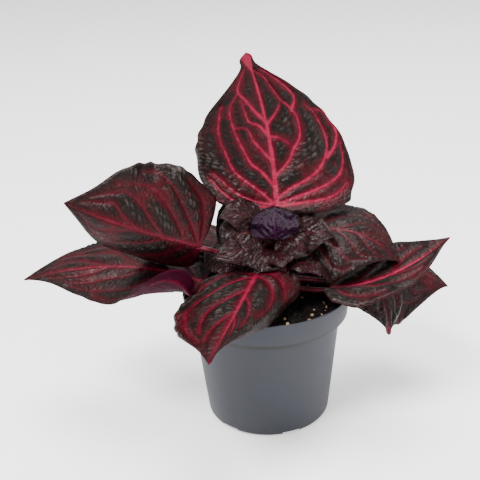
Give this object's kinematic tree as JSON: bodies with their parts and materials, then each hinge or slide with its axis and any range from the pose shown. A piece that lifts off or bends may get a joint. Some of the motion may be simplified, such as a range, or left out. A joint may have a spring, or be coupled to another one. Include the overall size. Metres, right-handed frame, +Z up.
{
  "type": "potted bloodleaf plant",
  "caption": "Young potted plant of broad, heart-shaped, dark leaves with crimson veins on red stalks, in a small round plastic nursery pot.",
  "frame": {"origin": "centre of the pot's flat foot, on the surface it stands on", "axes": "+Z up along the pot's axis; -Y towards the front of the plant, as in the picture; +X to the right of the front view"},
  "size_m": [0.2363, 0.1762, 0.194],
  "materials": {
    "pot_plastic": "satin blue-grey moulded plastic",
    "potting_soil": "rough, dark, moist potting soil",
    "stem_skin": "smooth dark red skin",
    "blade": "soft gloss, nearly black leaf with crimson veins",
    "young_blade": "glossy, puckered purple young leaf"
  },
  "bodies": {
    "root": {"pot": "pot_plastic", "soil": "potting_soil", "stem": "stem_skin", "leaf_tall": "blade", "leaf_left_upper": "blade", "leaf_left_lower": "blade", "leaf_front": "blade", "leaf_right_front": "blade", "leaf_right_upper": "blade", "leaf_right_low": "blade", "leaf_right_outer": "blade", "leaf_rear_left": "blade", "leaf_rear_low": "blade", "leaf_rear_right": "blade", "young_leaf_front": "young_blade", "young_leaf_left_upper": "young_blade", "young_leaf_left_lower": "young_blade", "young_leaf_middle": "young_blade", "young_leaf_right": "young_blade", "young_leaf_low": "young_blade", "young_leaf_side": "young_blade"}
  },
  "joints": []
}
